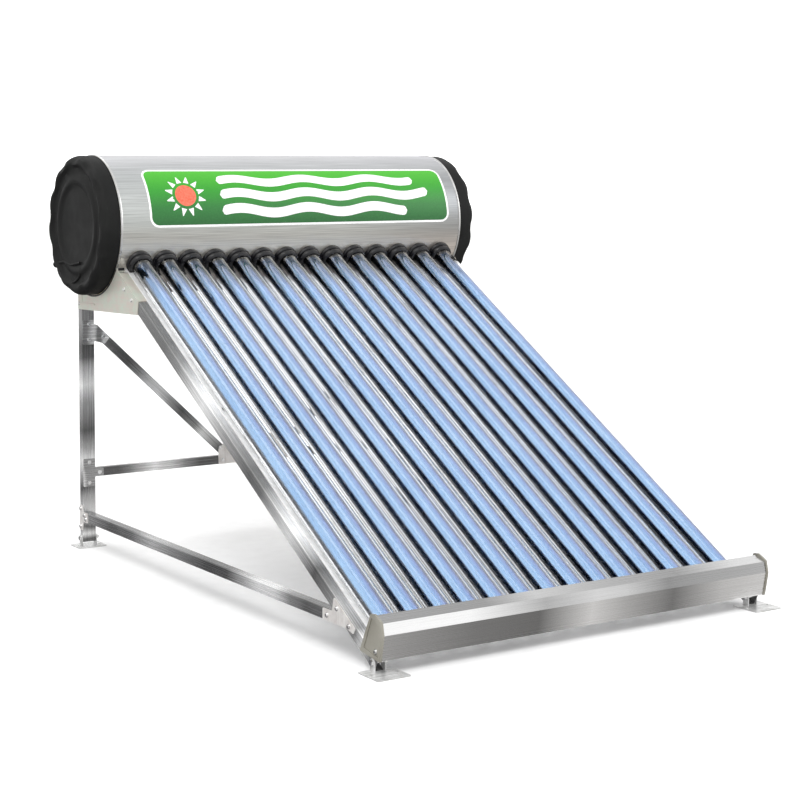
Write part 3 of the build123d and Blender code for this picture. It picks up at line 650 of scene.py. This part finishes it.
def cap_mesh(name):
    """A moulded cap about Z with finger dents around its edge."""
    segments = 288
    rows = len(cap_outline(0))
    turns = [2 * pi * k / segments for k in range(segments)]
    outlines = [cap_outline(((1 + cos(CAP_DENTS * turn)) / 2) ** 1.5) for turn in turns]
    points = []
    for i in range(rows):
        for turn, outline in zip(turns, outlines):
            radius, depth = outline[i]
            points.append((radius * cos(turn), radius * sin(turn), depth))
    return mesh_of(name, points, grid_faces(rows, segments, wrap_columns=True))


def arched_bar(name, spine, radius):
    """A round bar along a smooth line that is drawn towards those points."""
    curve = bpy.data.curves.new(name, "CURVE")
    curve.dimensions = "3D"
    spline = curve.splines.new("NURBS")
    spline.points.add(len(spine) - 1)
    for point, place in zip(spline.points, spine):
        point.co = (*place, 1)
    spline.order_u = 3
    spline.use_endpoint_u = True
    curve.bevel_depth = radius
    curve.bevel_resolution = 5
    curve.use_fill_caps = True
    shape = bpy.data.objects.new(name, curve)
    mesh = bpy.data.meshes.new_from_object(shape)
    bpy.data.objects.remove(shape)
    mesh.name = name
    mesh.shade_smooth()
    return mesh


def gland_mesh():
    """A cable gland about Z: a flange, a nut and a rounded end."""
    outline = [(0, 0), (0.0085, 0), (0.0105, 0.002), (0.0105, 0.009), (0.0085, 0.011)]
    outline += [(0.0085, 0.016), (0.0068, 0.019), (0.0045, 0.0205), (0, 0.021)]
    return lathe("cap_gland", outline, 24)


def add_caps():
    """Both end caps, and what stands on the left one."""
    for node, side in (("end_cap_left", -1), ("end_cap_right", 1)):
        low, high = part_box(node)
        inner_x = high.x if side < 0 else low.x
        cap = piece(f"{node}_shell", cap_mesh(f"{node}_shell"), "cap_plastic", None, CAP_PLASTIC)
        place = Matrix.Translation((inner_x, AXIS.y, AXIS.z))
        cap.matrix_world = place @ Matrix.Rotation(side * pi / 2, 4, "Y")
        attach(cap, "frame")
        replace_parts(cap, node)

    # The grip and the gland's flange are sunk a little into the disc.
    face_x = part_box("end_cap_left")[1].x - CAP_FACE
    for name, line, radius, sunk in (
        ("cap_ledge", LEDGE, 0.0042, 0.0),
        ("cap_recess", recess_line(), 0.0036, 0.0),
        ("cap_grip", GRIP, 0.0040, 0.002),
    ):
        spine = [(face_x + sunk, AXIS.y + y, AXIS.z + z) for y, z in line]
        piece(name, arched_bar(name, spine, radius), "cap_plastic", "frame", CAP_PLASTIC)

    gland = piece("cap_gland", gland_mesh(), "cap_plastic", None, CAP_PLASTIC)
    place = Matrix.Translation((face_x + 0.004, AXIS.y + GLAND[0], AXIS.z + GLAND[1]))
    gland.matrix_world = place @ Matrix.Rotation(-pi / 2, 4, "X")
    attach(gland, "frame")


# ---------------------------------------------------------------- the label
def rounded_patch(name, inset, lift):
    """A sheet on the shell: the label's rounded rectangle, drawn in by inset on each side."""
    low_x, high_x = LABEL_LOW_X + inset, LABEL_HIGH_X - inset
    low_v = LABEL_LOW_ANGLE * TANK_R + inset
    high_v = LABEL_HIGH_ANGLE * TANK_R - inset
    corner = LABEL_CORNER - inset
    rows, columns = 64, 24
    points = []
    for i in range(rows):
        v = low_v + (high_v - low_v) * (1 - cos(pi * i / (rows - 1))) / 2
        beyond = max(0.0, low_v + corner - v, v - high_v + corner)
        shrink = corner - sqrt(max(0.0, corner**2 - beyond**2))
        for j in range(columns):
            x = low_x + shrink + (high_x - low_x - 2 * shrink) * j / (columns - 1)
            points.append(on_shell(x, v / TANK_R, lift))
    return mesh_of(name, points, grid_faces(rows, columns))


def ribbon(name, low_x, high_x, middle):
    """A wavy band along the label, with round ends."""
    width, wave, wave_length = 0.030, 0.008, 0.24
    columns, rows = 120, 5
    points = []
    for i in range(rows):
        side = 2 * i / (rows - 1) - 1
        for j in range(columns):
            x = low_x + (high_x - low_x) * j / (columns - 1)
            end = min(1.0, (x - low_x) / (width / 2), (high_x - x) / (width / 2))
            half = width / 2 * sqrt(max(0.0, 1 - (1 - end) ** 2))
            v = middle + wave * sin(2 * pi * (x - low_x) / wave_length) + side * half
            points.append(on_shell(x, v / TANK_R, INK_LIFT))
    return mesh_of(name, points, grid_faces(rows, columns))


def sun_disc(name, x, v, radius):
    """A disc on the label. v is measured round the shell from its front."""
    rings, spokes = 8, 48
    points = []
    for i in range(rings):
        reach = radius * i / (rings - 1)
        for k in range(spokes):
            turn = 2 * pi * k / spokes
            points.append(on_shell(x + reach * cos(turn), (v + reach * sin(turn)) / TANK_R, INK_LIFT))
    return mesh_of(name, points, grid_faces(rings, spokes, wrap_columns=True))


def sun_rays(name, x, v, low_r, high_r, count=12):
    """A ring of tapered rays round a disc."""
    wide, narrow = 0.0087, 0.0012
    points, faces = [], []
    steps = 4
    for k in range(count):
        turn = 2 * pi * (k + 0.5) / count
        along, across = Vector((cos(turn), sin(turn))), Vector((-sin(turn), cos(turn)))
        start = len(points)
        for i in range(steps):
            share = i / (steps - 1)
            half = wide + (narrow - wide) * share
            for side in (-1, 1):
                spot = along * (low_r + (high_r - low_r) * share) + across * half * side
                points.append(on_shell(x + spot.x, (v + spot.y) / TANK_R, INK_LIFT))
        for i in range(steps - 1):
            a = start + 2 * i
            faces.append((a, a + 1, a + 3, a + 2))
    return mesh_of(name, points, faces)


def add_label():
    """The printed label: a green panel with a white edge, a plain sun and three waves."""
    white = printed("label_white_ink", (0.80, 0.80, 0.80), (0.95, 0.95, 0.95))
    coral = printed("label_coral_ink", (0.72, 0.10, 0.05), (0.86, 0.17, 0.10))
    middle = (LABEL_LOW_ANGLE + LABEL_HIGH_ANGLE) / 2 * TANK_R
    sun_x = LABEL_LOW_X + 0.125
    low_x, high_x = sun_x + 0.115, LABEL_HIGH_X - 0.07
    edge = rounded_patch("label_white_edge", 0.0, EDGE_LIFT)
    layers = [
        (rounded_patch("label_green_panel", LABEL_BORDER, PANEL_LIFT), label_film()),
        (sun_disc("label_sun_disc", sun_x, middle, 0.034), coral),
        (sun_rays("label_sun_rays", sun_x, middle, 0.043, 0.066), white),
    ]
    for k, (offset, share) in enumerate(((0.050, 0.94), (0.0, 1.0), (-0.050, 0.88))):
        end_x = low_x + (high_x - low_x) * share
        layers.append((ribbon(f"label_wave_{k + 1}", low_x, end_x, middle + offset), white))
    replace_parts(piece("label_white_edge", edge, "label", "frame", white), "front_label")
    for mesh, ink in layers:
        piece(mesh.name, mesh, "label", "frame", ink)


# ---------------------------------------------------------------- studio
# STRIP_ACROSS runs square across the tubes. The strip light fills the directions that reach
# STRIP_MIDDLE along it, give or take STRIP_HALF.
STRIP_ACROSS = (0.6504, -0.3831, 0.6557)
STRIP_MIDDLE = 0.33
STRIP_HALF = 0.13
STRIP_POWER = (3.6, 3.6, 3.6)

FLOOR_HALF = 40.0


def add_sky():
    """A soft white sky with a strip light overhead, and a ground that is darker behind the heater."""
    world = bpy.data.worlds.new("studio")
    bpy.context.scene.world = world
    world.use_nodes = True
    background = world.node_tree.nodes["Background"]
    sky = Nodes(world.node_tree)
    direction = sky.add("TexCoord", {}).outputs["Generated"]
    toward = sky.add("SeparateXYZ", {"Vector": direction}).outputs
    right = sky.spread(toward["X"], 0.0, 0.7)
    back = sky.spread(toward["Y"], -0.45, 0.3)
    ground = sky.mix(back, (0.60, 0.59, 0.58), (0.10, 0.10, 0.11))
    # The ground reaches higher behind the heater's right side.
    rise = sky.math("MULTIPLY", sky.math("MULTIPLY", right, back), 0.17)
    above_ground = sky.spread(sky.math("SUBTRACT", toward["Z"], rise), -0.20, -0.02)
    on_strip = sky.math("COMPARE", sky.dot(direction, STRIP_ACROSS), STRIP_MIDDLE, STRIP_HALF)
    strip = sky.math("MULTIPLY", on_strip, sky.spread(toward["Z"], 0.62, 0.80))
    high = sky.mix(strip, (1.0, 1.0, 1.0), STRIP_POWER)
    whole = sky.mix(above_ground, ground, high)
    sky.tree.links.new(whole, background.inputs["Color"])
    background.inputs["Strength"].default_value = 1.05


def add_floor():
    """A pale paper floor."""
    far = FLOOR_HALF
    corners = [(-far, -far, 0), (far, -far, 0), (far, far, 0), (-far, far, 0)]
    floor = bpy.data.objects.new("floor", mesh_of("floor", corners, [(0, 1, 2, 3)]))
    bpy.context.scene.collection.objects.link(floor)
    look = Look("floor_paper", (0.88, 0.88, 0.88), 0.9)
    grain = look.noise((0.05, 0.05, 0.05), detail=2.0)
    look.paint(look.ramp(grain, (0.3, (0.86, 0.86, 0.86)), (0.7, (0.90, 0.90, 0.90))))
    look.set("Emission Color", (1, 1, 1, 1))
    look.set("Emission Strength", 0.10)
    look.set("Specular IOR Level", 0.0)
    floor.data.materials.append(look.material)
    floor.visible_glossy = False
    floor.location.z = -0.0005


def add_backdrop():
    """A white dome that the camera sees behind the heater, and that casts no light on it."""
    mesh = lathe("backdrop", dome(FLOOR_HALF, -0.02, steps=16), segments=64)
    backdrop = bpy.data.objects.new("backdrop", mesh)
    bpy.context.scene.collection.objects.link(backdrop)
    look = Look("backdrop_paper", (0.8, 0.8, 0.8), 0.9)
    look.set("Emission Color", (1, 1, 1, 1))
    look.set("Emission Strength", 1.0)
    look.paint(look.ramp(look.noise((3, 3, 3)), (0.3, (0.78, 0.78, 0.78)), (0.7, (0.82, 0.82, 0.82))))
    backdrop.data.materials.append(look.material)
    backdrop.visible_diffuse = False
    backdrop.visible_glossy = False
    backdrop.visible_shadow = False


def add_lamps():
    """A key lamp on the left and a softer one on the right, both aimed at the heater's middle."""
    for name, place, size, power in (
        ("key", (-3.2, -3.6, 4.2), 2.4, 70.0),
        ("fill", (3.6, -2.4, 3.0), 2.8, 40.0),
    ):
        lamp = bpy.data.lights.new(name, "AREA")
        lamp.shape = "DISK"
        lamp.size = size
        lamp.energy = power
        holder = bpy.data.objects.new(name, lamp)
        holder.location = place
        aim = Vector((0, 0, 0.6)) - Vector(place)
        holder.rotation_euler = aim.to_track_quat("-Z", "Y").to_euler()
        bpy.context.scene.collection.objects.link(holder)


def add_camera():
    """The camera, to the left of the heater and level with its tank."""
    lens = bpy.data.cameras.new("camera")
    lens.lens = 82.52
    lens.sensor_width = 36.0
    lens.shift_y = -0.1765
    lens.clip_end = 200.0
    holder = bpy.data.objects.new("camera", lens)
    holder.location = (-2.8335, -4.4077, 1.1774)
    holder.rotation_euler = (radians(90 - 3.0), 0, radians(-33.116))
    bpy.context.scene.collection.objects.link(holder)
    bpy.context.scene.camera = holder


finish_cad_nodes()
add_tubes()
add_caps()
add_label()
add_sky()
add_floor()
add_backdrop()
add_lamps()
add_camera()
bpy.context.scene.view_settings.view_transform = "Standard"
